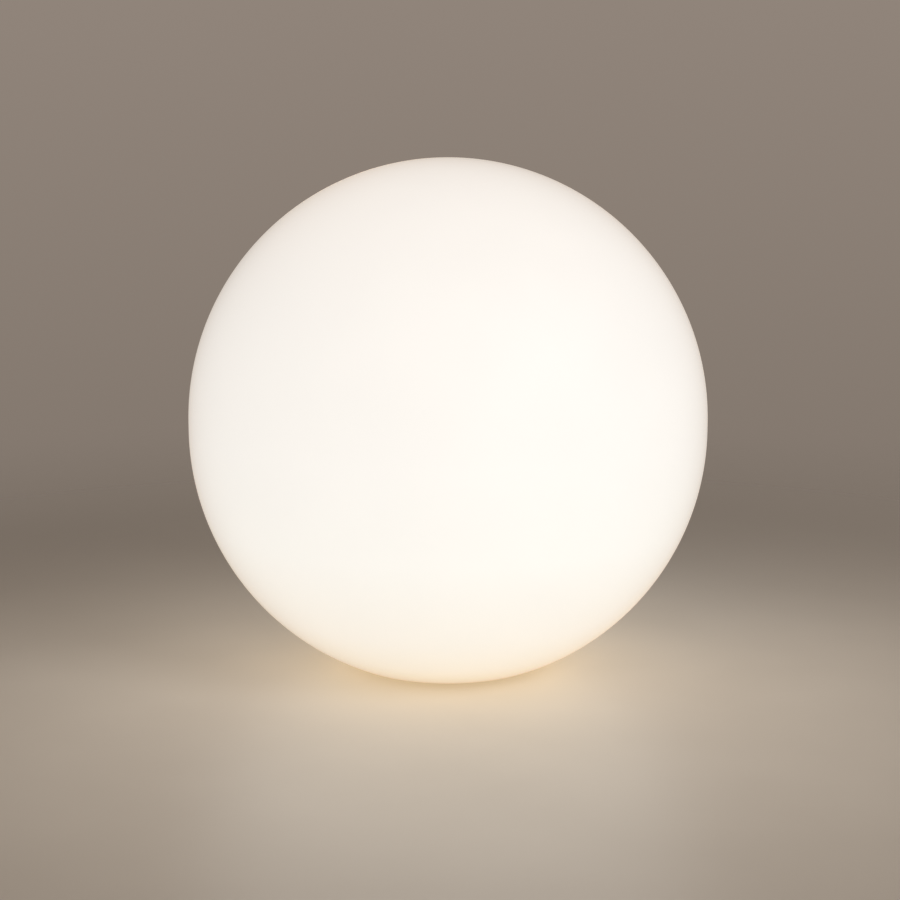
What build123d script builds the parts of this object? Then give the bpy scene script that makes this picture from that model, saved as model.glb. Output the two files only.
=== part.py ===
from build123d import *
import math
import os

# A cordless garden ball light. Millimetres, +Z up, standing on the plane z = 0 with its axis on Z.
# A rotation-moulded opal ball stands over a round light module; a quarter-turn bayonet joins them.

# The ball
ball_width = 400.0  # outside diameter
belt_height = 6.4  # straight band at the mould's parting line, which makes the ball taller than wide
ball_wall = 3.0
flat_edge_radius = 24.0  # rounding between the flat underside and the ball
flat_land = 2.0  # flat left between the recess for the collar and that rounding
ball_floor_gap = 1.2  # the ball's flat stands clear of the ground

# The bayonet between the ball and the module
turn_gap = 0.4  # running clearance of everything that turns
lug_depth = 3.2
lug_height = 4.0
lug_gap = 0.3  # height left between a collar lug and the module lug over it
lug_count = 4
lug_span = 40.0  # degrees
stop_gap = 0.5  # degrees left between a collar stop and the end of a module lug
stop_span = 4.0  # degrees
collar_wall = 2.8
collar_top_margin = 2.5  # collar tube above the module's lugs
seat_width = 2.4  # the collar rests on this much of the module's flange
seat_gap = 0.1
clamp_land = 7.0  # collar flange outside the ball's opening
opening_gap = 0.2  # collar tube in the ball's opening
gasket_thickness = 0.8
clamp_ring_height = 3.5
collar_web = 3.0  # collar flange over the module's flange
edge_break = 0.5  # chamfer on the turned edges that hands and seals meet

# The module
barrel_gap = 3.7  # between the corners of the cells' tray and the barrel
base_floor_gap = 1.6  # the underside stands clear of the ground on its feet
flange_height = 3.6
housing_wall = 2.4
groove_floor_wall = 3.0
groove_height = 3.0
groove_lip = 2.0  # land under and over the seal groove
seal_side_gap = 0.1
seal_face_gap = 0.05
land_to_lug = 1.0  # height between the seal land and the collar's lugs
deck_thickness = 2.5
column_radius = 3.4  # six columns take the cover's screws below and the dome's screws above
column_count = 6
column_overlap = 0.4  # how far a column runs into the barrel's wall

# The underside
rim_thickness = 3.0
cover_gap = 0.3
cover_lip = 3.3  # flange left outside the cover
column_gap = 0.6  # between the wells and the screw columns
well_depth = 16.0
well_wall = 2.6
well_fillet = 2.0
bar_width = 24.0
bar_fillet = 3.0
bar_setback = 2.0  # controls in the grip bar stay this far above the rim
bar_face_wall = 3.2
foot_radius = 5.0
foot_pocket = 1.2
foot_gap = 0.1
foot_chamfer = 0.6

# The controls in the grip bar
button_to_post = 9.5  # between the centres of the button and of the board's nearest posts
button_radius = 6.5
button_gap = 0.2
button_setback = 0.6
button_flange = 1.5
button_flange_height = 1.1
button_travel = 0.8
rest_gap = 0.1  # between the button's flange and the wall that it rests on
switch_size = 6.0
plunger_radius = 1.7
plunger_gap = 0.1
plunger_reach = 0.9  # plunger below the switch's body
plunger_inside = 1.5
lens_offset = 2.0  # from half way between button and port towards the button
lens_radius = 1.5
port_to_post = 11.5
port_cover_length = 15.0
port_cover_width = 10.0
port_cover_thickness = 1.4
port_cover_gap = 0.3
port_recess_depth = 1.8
port_corner = 2.0
anchor_length = 5.0
anchor_stem_radius = 1.6
anchor_head_extra = 0.6
plug_slot_length = 12.0
plug_slot_width = 6.6
socket_length = 8.94
socket_width = 3.26
socket_wall = 0.4
tongue_length = 6.6
tongue_width = 0.7
board_end_gap = 5.0
board_side_gap = 0.9
board_thickness = 1.6
chip_size = 5.0  # driver chips on the board
coil_size = 6.0  # coil and capacitor on the board
board_height = 5.6  # underside of the board above the bar's inner face
post_inset = 2.7  # from the board's end
post_y = 6.0
post_radius = 2.2
vent_x = 14.0
vent_radius = 3.0
vent_cap_extra = 1.2
vent_cap_height = 0.6

# The cells
cell_diameter = 18.4
cell_length = 65.0
cell_count = 2
cell_gap = 0.3
tray_wall = 1.5
tray_floor = 2.0
tray_leg_height = 4.0  # leads run under the tray
tray_leg_radius = 2.0
tray_wall_share = 0.5  # the tray's walls hold this share of a cell's diameter
ear_width = 9.0
ear_reach = 9.0
ear_edge = 3.5  # from an ear's screw to its end
link_thickness = 0.3
strap_width = 14.0
strap_thickness = 0.8
deck_clearance = 2.4  # over the strap

# The lamp on the deck
plate_thickness = 3.0
plate_margin = 1.5  # barrel edge left outside the plate
chip_length = 3.0
chip_width = 2.8
chip_height = 0.7
chip_pitch = 9.0  # between rings of chips, with six more chips in each ring
chip_margin = 3.0  # free edge of the board outside the last ring
dome_screw_land = 0.85  # between the dome's foot and its screws' heads
dome_rise = 24.0
dome_wall = 2.0
dome_flange_thickness = 2.5
dome_gasket_margin = 1.0

# Leads
lead_radius = 1.2
lead_bend = 3.5
battery_lead_offset = 6.0  # beyond the charge port
battery_lead_y = 6.0
lead_x = -8.0
grommet_wall = 1.5
grommet_flange = 0.8
grommet_gap = 0.3  # to the lamp's board on one side and the dome on the other
connector_length = 5.0
connector_width = 3.6
connector_height = 2.4
connector_wall = 0.6

# Screws: radius of head, height of head, radius of shank
case_screw = (2.25, 1.8, 1.25)
small_screw = (1.6, 1.2, 0.9)
case_screw_length = 10.0
small_screw_length = 4.0
screw_gap = 0.2
socket_share = 0.5  # of a head's radius and height
collar_screw_count = 8
lamp_screw_count = 3
lamp_screw_circle = 13.5

# Height left between the dome and the collar when the ball is lifted right off
lift_clearance = 25.0

# The block of cells sets the size of the barrel round it
cell_pitch = cell_diameter + cell_gap
tray_half_length = cell_length / 2 + link_thickness + cell_gap + tray_wall
tray_half_width = cell_count * cell_pitch / 2 + tray_wall
ear_y = tray_half_width + ear_reach - ear_edge
barrel_inner = math.hypot(tray_half_length, tray_half_width) + barrel_gap

# Radii worked out from the barrel outwards
housing_radius = barrel_inner + housing_wall
collar_lug_radius = housing_radius + turn_gap
collar_bore = collar_lug_radius + lug_depth
land_radius = collar_bore - turn_gap
collar_tube_radius = collar_bore + collar_wall
flange_radius = collar_bore + seat_width
opening_radius = collar_tube_radius + opening_gap
collar_flange_radius = opening_radius + clamp_land
recess_radius = collar_flange_radius + turn_gap
flat_edge = recess_radius + ball_wall + flat_land
groove_radius = barrel_inner + groove_floor_wall
cover_radius = flange_radius - cover_lip - cover_gap
column_circle = barrel_inner + column_overlap - column_radius
collar_screw_circle = opening_radius + clamp_land / 2
well_outer = column_circle - column_radius - column_gap
well_radius = well_outer - well_wall
foot_circle = (well_radius + cover_radius) / 2

# Heights worked out from the ground up
flange_top = base_floor_gap + flange_height
cover_seat = base_floor_gap + rim_thickness + gasket_thickness
collar_seat = flange_top + seat_gap
collar_flange_top = collar_seat + collar_web
shelf_low = collar_flange_top + gasket_thickness
shelf_top = shelf_low + ball_wall
clamp_ring_top = shelf_top + clamp_ring_height
groove_low = flange_top + groove_lip
groove_top = groove_low + groove_height
land_top = groove_top + groove_lip
collar_lug_low = land_top + land_to_lug
module_lug_low = collar_lug_low + lug_height + lug_gap
collar_top = module_lug_low + lug_height + collar_top_margin
well_ceiling = base_floor_gap + well_depth
well_roof = well_ceiling + well_wall
bar_face = base_floor_gap + bar_setback
bar_inner_face = bar_face + bar_face_wall
bar_inner_width = bar_width - 2 * well_wall
board_width = bar_inner_width - 2 * board_side_gap
board_length = 2 * (well_radius - board_end_gap)
vent_y = (bar_width / 2 + well_radius) / 2
post_x = board_length / 2 - post_inset
button_x = button_to_post - post_x
port_x = post_x - port_to_post
lens_x = (button_x + port_x) / 2 - lens_offset
battery_lead_x = port_x + battery_lead_offset
board_low = bar_inner_face + board_height
board_top = board_low + board_thickness
tray_low = well_roof + tray_leg_height
tray_top = tray_low + tray_floor
cell_centre = tray_top + cell_diameter / 2 + cell_gap / 2
strap_low = cell_centre + cell_diameter / 2
deck_low = strap_low + strap_thickness + deck_clearance
deck_top = deck_low + deck_thickness
plate_top = deck_top + plate_thickness
lamp_board_top = plate_top + board_thickness
dome_flange_low = plate_top + gasket_thickness
dome_flange_top = dome_flange_low + dome_flange_thickness
plate_radius = housing_radius - plate_margin

# The dome is a cap of a sphere, inside the heads of its screws
dome_radius = column_circle - case_screw[0] - dome_screw_land
dome_sphere = (dome_radius**2 + dome_rise**2) / (2 * dome_rise)
dome_centre = dome_flange_top + dome_rise - dome_sphere
dome_inner_foot = math.sqrt((dome_sphere - dome_wall) ** 2 - (dome_flange_top - dome_centre) ** 2)

# The lamp's lead climbs between the dome and the lamp's board
grommet_radius = lead_radius + grommet_wall
grommet_reach = grommet_radius + grommet_flange + grommet_gap
lead_circle = dome_inner_foot - grommet_reach
lead_y = math.sqrt(lead_circle**2 - lead_x**2)
lamp_board_radius = lead_circle - grommet_reach

# The ball's two half spheres stand on a flat whose rounding touches flat and sphere
ball_radius = ball_width / 2
edge_centre = ball_floor_gap + flat_edge_radius
lower_centre = edge_centre + math.sqrt((ball_radius - flat_edge_radius) ** 2 - flat_edge**2)
upper_centre = lower_centre + belt_height
ball_top = upper_centre + ball_radius

# How far the ball turns and lifts
unlock_angle = 180 / lug_count
lift_travel = dome_flange_top + dome_rise + lift_clearance - base_floor_gap


def turned(*points):
    """A turned solid from its half section, as (radius, height) points."""
    return revolve(Plane.XZ * make_face(Polyline(*points, close=True)), Axis.Z)


def disc(radius, low, high, x=0.0, y=0.0):
    """A round rod or plate on a vertical axis."""
    upright = (Align.CENTER, Align.CENTER, Align.MIN)
    return Pos(x, y, low) * Cylinder(radius, high - low, align=upright)


def ring(inner, outer, low, high):
    """A flat ring about the Z axis."""
    return turned((inner, low), (outer, low), (outer, high), (inner, high))


def block(length, width, low, high, x=0.0, y=0.0):
    """A rectangular block standing on a height."""
    upright = (Align.CENTER, Align.CENTER, Align.MIN)
    return Pos(x, y, low) * Box(length, width, high - low, align=upright)


def slab(sketch, low, high):
    """A flat outline given a thickness between two heights."""
    return Pos(0, 0, low) * extrude(sketch, high - low)


def around(count, radius, start=0.0):
    """Places evenly round the Z axis."""
    return [Rot(0, 0, start + 360 * i / count) * Pos(radius, 0, 0) for i in range(count)]


def sectors(inner, outer, low, high, span, count):
    """Equal lengths of a flat ring, each centred on its place round the Z axis."""
    section = make_face(Polyline((inner, low), (outer, low), (outer, high), (inner, high), close=True))
    piece = Rot(0, 0, -span / 2) * revolve(Plane.XZ * section, Axis.Z, revolution_arc=span)
    return [Rot(0, 0, 360 * i / count) * piece for i in range(count)]


def screw(sizes, length):
    """A socket-head screw: its seat at z = 0, its shank upwards and its head below."""
    head_radius, head_height, shank_radius = sizes
    socket = extrude(RegularPolygon(head_radius * socket_share, 6), head_height * socket_share)
    body = disc(head_radius, -head_height, 0) + disc(shank_radius, 0, length)
    return body - Pos(0, 0, -head_height) * socket


def screws(sizes, length, places, seat, downwards=False):
    """A screw at each place, on a seat at one height."""
    one = screw(sizes, length)
    if downwards:
        one = Rot(180, 0, 0) * one
    return [Pos(0, 0, seat) * place * one for place in places]


def lead(*points):
    """A round lead along straight runs joined by arcs."""
    path = FilletPolyline(*points, radius=lead_bend)
    return sweep(Plane(path @ 0, z_dir=path % 0) * Circle(lead_radius), path=path)


# The ball's pieces


def sphere_section(inset):
    """Half section lines of the ball's surface, offset inwards by inset, from flat to top."""
    radius = ball_radius - inset
    edge = flat_edge_radius - inset
    tangent = math.degrees(math.atan2(lower_centre - edge_centre, flat_edge))
    return [
        CenterArc((flat_edge, edge_centre), edge, -90, 90 - tangent),
        CenterArc((0, lower_centre), radius, -tangent, tangent),
        Line((radius, lower_centre), (radius, upper_centre)),
        CenterArc((0, upper_centre), radius, 0, 90),
    ]


def globe_shell():
    """The moulded ball: one wall, with a recess under it for the collar and a round opening."""
    inner_flat = ball_floor_gap + ball_wall
    recess_outer = recess_radius + ball_wall
    neck = Polyline(
        (flat_edge, ball_floor_gap),
        (recess_radius, ball_floor_gap),
        (recess_radius, shelf_low),
        (opening_radius, shelf_low),
        (opening_radius, shelf_top),
        (recess_outer, shelf_top),
        (recess_outer, inner_flat),
        (flat_edge, inner_flat),
    )
    top = Line((0, ball_top), (0, ball_top - ball_wall))
    section = make_face(sphere_section(0) + sphere_section(ball_wall) + [neck, top])
    shell = revolve(Plane.XZ * section, Axis.Z)
    hole = disc(case_screw[2] + screw_gap, shelf_low, shelf_top)
    return shell - [place * hole for place in around(collar_screw_count, collar_screw_circle)]


def bayonet_collar():
    """The ring in the ball's opening: flange, tube and inward lugs."""
    body = turned(
        (collar_flange_radius - edge_break, base_floor_gap),
        (collar_flange_radius, base_floor_gap + edge_break),
        (collar_flange_radius, collar_flange_top),
        (collar_tube_radius, collar_flange_top),
        (collar_tube_radius, collar_top - edge_break),
        (collar_tube_radius - edge_break, collar_top),
        (collar_bore + edge_break, collar_top),
        (collar_bore, collar_top - edge_break),
        (collar_bore, collar_seat),
        (flange_radius + turn_gap, collar_seat),
        (flange_radius + turn_gap, base_floor_gap + edge_break),
        (flange_radius + turn_gap + edge_break, base_floor_gap),
    )
    lug_top = collar_lug_low + lug_height
    reach = collar_bore + collar_wall / 2
    lugs = sectors(collar_lug_radius, reach, collar_lug_low, lug_top, lug_span, lug_count)

    # A stop at one end of each lug meets a module lug when the ball is home or turned right round
    foot_span = stop_gap + stop_span
    foot_turn = Rot(0, 0, (lug_span + foot_span) / 2)
    foot = sectors(collar_lug_radius, reach, collar_lug_low, lug_top, foot_span, lug_count)
    stop_turn = Rot(0, 0, lug_span / 2 + stop_gap + stop_span / 2)
    stop_top = module_lug_low + lug_height
    stop = sectors(collar_lug_radius, reach, collar_lug_low, stop_top, stop_span, lug_count)
    lugs += [foot_turn * piece for piece in foot] + [stop_turn * piece for piece in stop]
    head_radius, head_height, shank_radius = case_screw
    seat = base_floor_gap + head_height + screw_gap
    hole = disc(head_radius + screw_gap, base_floor_gap, seat)
    hole += disc(shank_radius + screw_gap, seat, collar_flange_top)
    holes = [place * hole for place in around(collar_screw_count, collar_screw_circle)]
    return body + lugs - holes


def collar_gasket():
    """Flat seal between the collar's flange and the ball."""
    seal = ring(opening_radius, collar_flange_radius, collar_flange_top, shelf_low)
    hole = disc(case_screw[2] + screw_gap, collar_flange_top, shelf_low)
    return seal - [place * hole for place in around(collar_screw_count, collar_screw_circle)]


def collar_clamp_ring():
    """Ring inside the ball that the collar's screws pull against."""
    body = ring(opening_radius, collar_flange_radius, shelf_top, clamp_ring_top)
    hole = disc(case_screw[2], shelf_top, clamp_ring_top)
    return body - [place * hole for place in around(collar_screw_count, collar_screw_circle)]


def collar_screws():
    """Screws up through the collar's flange into the clamp ring."""
    seat = base_floor_gap + case_screw[1] + screw_gap
    places = around(collar_screw_count, collar_screw_circle)
    return screws(case_screw, clamp_ring_top - seat, places, seat)


def seal_ring():
    """Rubber ring in the module's groove, with a crowned face towards the collar's bore."""
    low = groove_low + seal_side_gap
    high = groove_top - seal_side_gap
    inner = groove_radius + seal_face_gap
    crown = collar_bore - seal_face_gap
    shoulder = land_radius - (crown - land_radius)
    middle = (low + high) / 2
    face = ThreePointArc((shoulder, high), (crown, middle), (shoulder, low))
    back = Polyline((shoulder, low), (inner, low), (inner, high), (shoulder, high))
    return revolve(Plane.XZ * make_face([face, back]), Axis.Z)


# The module's casing


def lamp_holes(low, high):
    """Holes through the deck or the plate for the lamp's lead and grommet."""
    return disc(grommet_radius, low, high, lead_x, lead_y)


def module_housing():
    """The barrel: flange, seal groove, outward lugs, deck and six screw columns."""
    body = turned(
        (cover_radius + cover_gap, base_floor_gap),
        (flange_radius - edge_break, base_floor_gap),
        (flange_radius, base_floor_gap + edge_break),
        (flange_radius, flange_top),
        (land_radius, flange_top),
        (land_radius, groove_low),
        (groove_radius, groove_low),
        (groove_radius, groove_top),
        (land_radius, groove_top),
        (land_radius, land_top - edge_break),
        (land_radius - edge_break, land_top),
        (housing_radius, land_top),
        (housing_radius, deck_top - edge_break),
        (housing_radius - edge_break, deck_top),
        (0, deck_top),
        (0, deck_low),
        (barrel_inner, deck_low),
        (barrel_inner, cover_seat),
        (cover_radius + cover_gap, cover_seat),
    )
    lug_top = module_lug_low + lug_height
    reach = housing_radius - housing_wall / 2
    lugs = sectors(reach, land_radius, module_lug_low, lug_top, lug_span, lug_count)
    column = disc(column_radius, cover_seat, deck_low)
    columns = [place * column for place in around(column_count, column_circle)]
    pilot = disc(case_screw[2], cover_seat, cover_seat + case_screw_length)
    pilot += disc(case_screw[2], deck_top - case_screw_length, deck_top)
    pilots = [place * pilot for place in around(column_count, column_circle)]
    return body + lugs + columns - pilots - lamp_holes(deck_low, deck_top)


def grip_channel(half_width, radius, low, high):
    """A length of bar across the well, rounded to a radius at its ends."""
    return block(2 * radius, 2 * half_width, low, high) & disc(radius, low, high)


def port_outline(length, width, centre):
    """Rounded outline of the charge port's flap or its recess."""
    return Pos(centre, 0, 0) * RectangleRounded(length, width, port_corner)


def vent_place(low, high, radius):
    """A round piece on the vent's axis."""
    return disc(radius, low, high, vent_x, vent_y)


def base_cover():
    """The underside: rim, two finger wells, and the hollow grip bar between them."""
    dish = turned(
        (well_radius, base_floor_gap + edge_break),
        (well_radius + edge_break, base_floor_gap),
        (cover_radius - edge_break, base_floor_gap),
        (cover_radius, base_floor_gap + edge_break),
        (cover_radius, base_floor_gap + rim_thickness),
        (well_outer, base_floor_gap + rim_thickness),
        (well_outer, well_roof),
        (0, well_roof),
        (0, well_ceiling),
        (well_radius, well_ceiling),
    )
    corner = dish.edges().filter_by(GeomType.CIRCLE).filter_by(
        lambda e: abs(e.radius - well_radius) < 0.01 and abs(e.center().Z - well_ceiling) < 0.01
    )
    dish = fillet(corner, well_fillet)
    bar = block(2 * well_outer, bar_width, bar_face, well_roof)
    long_edges = bar.edges().filter_by(Axis.X).group_by(Axis.Z)[0]
    bar = fillet(long_edges, bar_fillet) & disc(well_radius + well_wall / 2, bar_face, well_roof)
    cavity = grip_channel(bar_inner_width / 2, well_radius, bar_inner_face, well_roof)
    cover = dish + bar - cavity

    # Posts for the board, bosses for the tray and holes for the controls
    for x in (-post_x, post_x):
        for y in (-post_y, post_y):
            cover += disc(post_radius, bar_inner_face, board_low, x, y)
    for x, y in board_screw_places():
        cover -= disc(small_screw[2], board_low - small_screw_length, board_low, x, y)
    for y in (-ear_y, ear_y):
        cover += disc(column_radius, well_roof, tray_low, 0, y)
        cover -= disc(case_screw[2], well_roof, tray_low, 0, y)
    cover -= disc(button_radius + button_gap, bar_face, bar_inner_face, button_x)
    cover -= disc(lens_radius, bar_face, bar_inner_face, lens_x)
    cover -= vent_place(well_ceiling, well_roof, vent_radius)
    cover -= port_recess()
    plug_slot = Pos(port_x, 0, 0) * SlotOverall(plug_slot_length, plug_slot_width)
    cover -= slab(plug_slot, bar_face, bar_inner_face)
    cover -= disc(anchor_stem_radius, bar_face, bar_inner_face, anchor_x)

    # Pockets and holes round the rim
    pocket = disc(foot_radius + foot_gap, base_floor_gap, base_floor_gap + foot_pocket)
    cover -= [place * pocket for place in foot_places()]
    seat = base_floor_gap + case_screw[1]
    hole = disc(case_screw[0] + screw_gap, base_floor_gap, seat)
    hole += disc(case_screw[2] + screw_gap, seat, base_floor_gap + rim_thickness)
    return cover - [place * hole for place in around(column_count, column_circle)]


def foot_places():
    """Feet stand between the cover's screws."""
    return around(column_count, foot_circle, 180 / column_count)


def board_screw_places():
    """Two of the board's four posts take a screw."""
    return [(-post_x, post_y), (post_x, -post_y)]


def base_gasket():
    """Flat seal between the cover's rim and the housing."""
    low = base_floor_gap + rim_thickness
    hole = disc(case_screw[2] + screw_gap, low, cover_seat)
    inner = column_circle - column_radius
    return ring(inner, cover_radius, low, cover_seat) - [
        place * hole for place in around(column_count, column_circle)
    ]


def base_screws():
    """Screws up through the cover into the housing's columns."""
    seat = base_floor_gap + case_screw[1]
    length = case_screw_length - screw_gap
    return screws(case_screw, length, around(column_count, column_circle), seat)


def rubber_feet():
    """Feet pressed into the rim's pockets."""
    foot = disc(foot_radius, 0, base_floor_gap + foot_pocket)
    foot = chamfer(foot.edges().group_by(Axis.Z)[0], foot_chamfer)
    return [place * foot for place in foot_places()]


# The controls

port_recess_length = port_cover_length + anchor_length + 3 * port_cover_gap
port_recess_centre = port_x + (anchor_length + port_cover_gap) / 2
hinge_x = port_x + port_cover_length / 2
anchor_x = hinge_x + port_cover_gap + anchor_length / 2


def port_recess():
    """Shallow recess that the flap and its fixed root lie in."""
    width = port_cover_width + 2 * port_cover_gap
    outline = port_outline(port_recess_length, width, port_recess_centre)
    return slab(outline, bar_face, bar_face + port_recess_depth)


def charge_port_cover():
    """Rubber flap over the charge socket, with a short plug on its inner face."""
    low = bar_face + rest_gap * 2
    high = low + port_cover_thickness
    flap = slab(port_outline(port_cover_length, port_cover_width, port_x), low, high)
    square_end = block(port_corner, port_cover_width, low, high, hinge_x - port_corner / 2)
    plug_outline = Pos(port_x, 0, 0) * SlotOverall(tongue_length, socket_width)
    plug = slab(plug_outline, high, bar_inner_face - rest_gap * 5)
    return flap + square_end + plug


def port_cover_anchor():
    """The flap's fixed root: a pad in the recess and a headed stem through the bar."""
    low = bar_face + rest_gap * 2
    high = bar_face + port_recess_depth
    pad = slab(port_outline(anchor_length, port_cover_width, anchor_x), low, high)
    stem = disc(anchor_stem_radius, high, bar_inner_face + anchor_head_extra, anchor_x)
    head_radius = anchor_stem_radius + anchor_head_extra
    head = disc(head_radius, bar_inner_face, bar_inner_face + 2 * anchor_head_extra, anchor_x)
    return pad + stem + head


def power_button():
    """Press button: a cap in the bar's hole and a flange inside it."""
    flange_low = bar_inner_face + rest_gap
    flange_high = flange_low + button_flange_height
    cap = disc(button_radius, bar_face + button_setback, flange_low, button_x)
    cap = chamfer(cap.edges().group_by(Axis.Z)[0], button_setback)
    return cap + disc(button_radius + button_flange, flange_low, flange_high, button_x)


button_top = bar_inner_face + rest_gap + button_flange_height
switch_low = button_top + plunger_reach


def switch_body():
    """The tact switch under the board, with a bore for its plunger."""
    bore_top = switch_low + plunger_inside + button_travel + plunger_gap
    body = block(switch_size, switch_size, switch_low, board_low, button_x)
    return body - disc(plunger_radius + plunger_gap, switch_low, bore_top, button_x)


def switch_plunger():
    """The switch's plunger, which rides on the button."""
    return disc(plunger_radius, button_top, switch_low + plunger_inside, button_x)


def status_lens():
    """Clear light pipe from the board to the bar's face."""
    rod = disc(lens_radius, bar_face, board_low, lens_x)
    return rod + disc(lens_radius + anchor_head_extra, bar_inner_face, bar_inner_face + 1, lens_x)


def charge_socket():
    """Upright socket under the board: a rounded metal shell round a contact tongue."""
    outline = Pos(port_x, 0, 0) * SlotOverall(socket_length, socket_width)
    hollow = Pos(port_x, 0, 0) * SlotOverall(socket_length - 2 * socket_wall, socket_width - 2 * socket_wall)
    shell = slab(outline, bar_inner_face, board_low)
    shell -= slab(hollow, bar_inner_face, board_low - 2 * socket_wall)
    return shell + block(tongue_length, tongue_width, bar_inner_face + socket_wall, board_low, port_x)


def vent_plug():
    """Snap-in pressure vent in the roof of one finger well."""
    head = vent_place(well_ceiling - vent_cap_height, well_ceiling, vent_radius + vent_cap_extra)
    stem = vent_place(well_ceiling, well_roof + vent_cap_height, vent_radius)
    barb = vent_place(well_roof, well_roof + vent_cap_height, vent_radius + vent_cap_height)
    return head + stem + barb


def control_board():
    """Long narrow board in the grip bar."""
    board = block(board_length, board_width, board_low, board_top)
    ends = disc(well_radius - 2 * turn_gap, board_low, board_top)
    holes = [disc(small_screw[2] + screw_gap, board_low, board_top, x, y) for x, y in board_screw_places()]
    return (board & ends) - holes


def board_parts():
    """Connectors and driver parts on top of the control board."""
    high = board_top + connector_height
    chip_top = board_top + chip_size / 4
    return [
        block(connector_width, connector_length, board_top, high, lead_x),
        block(connector_width, connector_length, board_top, high, battery_lead_x, battery_lead_y),
        block(chip_size, chip_size, board_top, chip_top, (lens_x + port_x - chip_size) / 2),
        block(coil_size, coil_size, board_top, board_top + coil_size / 2, port_x - 1),
        block(coil_size, chip_size, board_top, chip_top, button_x),
        disc(coil_size / 2, board_top, board_top + coil_size, coil_size - board_length / 2, -coil_size / 2),
    ]


def board_screws():
    """Two small screws down into the cover's posts."""
    places = [Pos(x, y, 0) for x, y in board_screw_places()]
    return screws(small_screw, small_screw_length, places, board_top, downwards=True)


# The cells

def cell_places():
    """Centres of the cells across the tray."""
    return [(i - (cell_count - 1) / 2) * cell_pitch for i in range(cell_count)]


def battery_tray():
    """Cradle on four legs, with a hollow for each cell and two screwed ears."""
    wall_top = tray_top + tray_wall_share * cell_diameter
    tray = block(2 * tray_half_length, 2 * tray_half_width, tray_low, wall_top)
    inside = block(2 * (tray_half_length - tray_wall), 2 * (tray_half_width - tray_wall), tray_top, wall_top)
    tray -= inside
    notch_low = cell_centre - 2 * lead_radius
    tray -= block(4 * tray_wall, 4 * lead_radius, notch_low, wall_top, tray_half_length, battery_lead_y)
    for y in (-1, 1):
        ear = block(ear_width, ear_reach, tray_low, tray_top, 0, y * (tray_half_width + ear_reach / 2))
        tray += ear - disc(case_screw[2] + screw_gap, tray_low, tray_top, 0, y * ear_y)
    leg_x = tray_half_length - 3 * tray_leg_radius
    leg_y = tray_half_width - tray_leg_radius - tray_wall
    for x in (-leg_x, leg_x):
        for y in (-leg_y, leg_y):
            tray += disc(tray_leg_radius, well_roof, tray_low, x, y)
    return tray


def battery_cells():
    """Round cells lying side by side."""
    cell = Rot(0, 90, 0) * Cylinder(cell_diameter / 2, cell_length)
    return [Pos(0, y, cell_centre) * cell for y in cell_places()]


def cell_links():
    """Flat strips that join the cells at each end."""
    width = cell_pitch + cell_diameter / 2
    half_height = cell_diameter / 5
    x = (cell_length + link_thickness) / 2
    strip = block(link_thickness, width, cell_centre - half_height, cell_centre + half_height)
    return [Pos(-x, 0, 0) * strip, Pos(x, 0, 0) * strip]


def battery_strap():
    """Bridge over the cells, screwed down with the tray's ears."""
    inner = tray_half_width + screw_gap
    outer = inner + strap_thickness
    strap = block(strap_width, 2 * outer, tray_top, strap_low + strap_thickness)
    strap -= block(strap_width, 2 * inner, tray_top, strap_low)
    foot_high = tray_top + strap_thickness
    foot_reach = tray_half_width + ear_reach - inner
    for y in (-1, 1):
        foot = block(ear_width, foot_reach, tray_top, foot_high, 0, y * (inner + foot_reach / 2))
        strap += foot
        strap -= disc(case_screw[2] + screw_gap, tray_top, foot_high, 0, y * ear_y)
    return strap


def tray_screws():
    """Two screws through strap and ear into the cover's bosses."""
    seat = tray_top + strap_thickness
    places = [Pos(0, -ear_y, 0), Pos(0, ear_y, 0)]
    return screws(case_screw, seat - well_roof, places, seat, downwards=True)


def battery_lead():
    """Lead from the control board to the strip at the cells' end."""
    start = board_top + connector_height
    low = (well_roof + tray_low) / 2
    rise_x = (tray_half_length + column_circle + column_radius) / 2
    link_face = cell_length / 2 + link_thickness
    return lead(
        (battery_lead_x, battery_lead_y, start),
        (battery_lead_x, battery_lead_y, low),
        (rise_x, battery_lead_y, low),
        (rise_x, battery_lead_y, cell_centre),
        (link_face, battery_lead_y, cell_centre),
    )


# The lamp


def heat_sink_plate():
    """Aluminium plate on the deck, which carries the lamp's board."""
    plate = disc(plate_radius, deck_top, plate_top) - lamp_holes(deck_top, plate_top)
    hole = disc(case_screw[2] + screw_gap, deck_top, plate_top)
    plate -= [place * hole for place in around(column_count, column_circle)]
    pilot = disc(small_screw[2], deck_top, plate_top)
    return plate - [place * pilot for place in around(lamp_screw_count, lamp_screw_circle, 90)]


def led_board():
    """Round metal-core board."""
    board = disc(lamp_board_radius, plate_top, lamp_board_top)
    hole = disc(small_screw[2] + screw_gap, plate_top, lamp_board_top)
    return board - [place * hole for place in around(lamp_screw_count, lamp_screw_circle, 90)]


def led_board_screws():
    """Small screws down into the plate."""
    places = around(lamp_screw_count, lamp_screw_circle, 90)
    length = board_thickness + plate_thickness
    return screws(small_screw, length, places, lamp_board_top, downwards=True)


def led_chips():
    """Light-emitting chips: one in the middle and two rings."""
    chip = block(chip_length, chip_width, lamp_board_top, lamp_board_top + chip_height)
    places = [Pos(0, 0, 0)]
    for i in range(1, 1 + int((lamp_board_radius - chip_margin) / chip_pitch)):
        places += around(6 * i, i * chip_pitch, 30 / i)
    return [place * chip for place in places]


def led_connector():
    """Edge connector that reaches from the lamp's board over the lead's end."""
    inner = math.sqrt(lamp_board_radius**2 - (abs(lead_x) + connector_length / 2) ** 2) - connector_width
    outer = lead_y + lead_radius + connector_wall
    high = lamp_board_top + connector_height
    middle = (inner + outer) / 2
    return block(connector_length, outer - inner, lamp_board_top, high, lead_x, middle)


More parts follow.
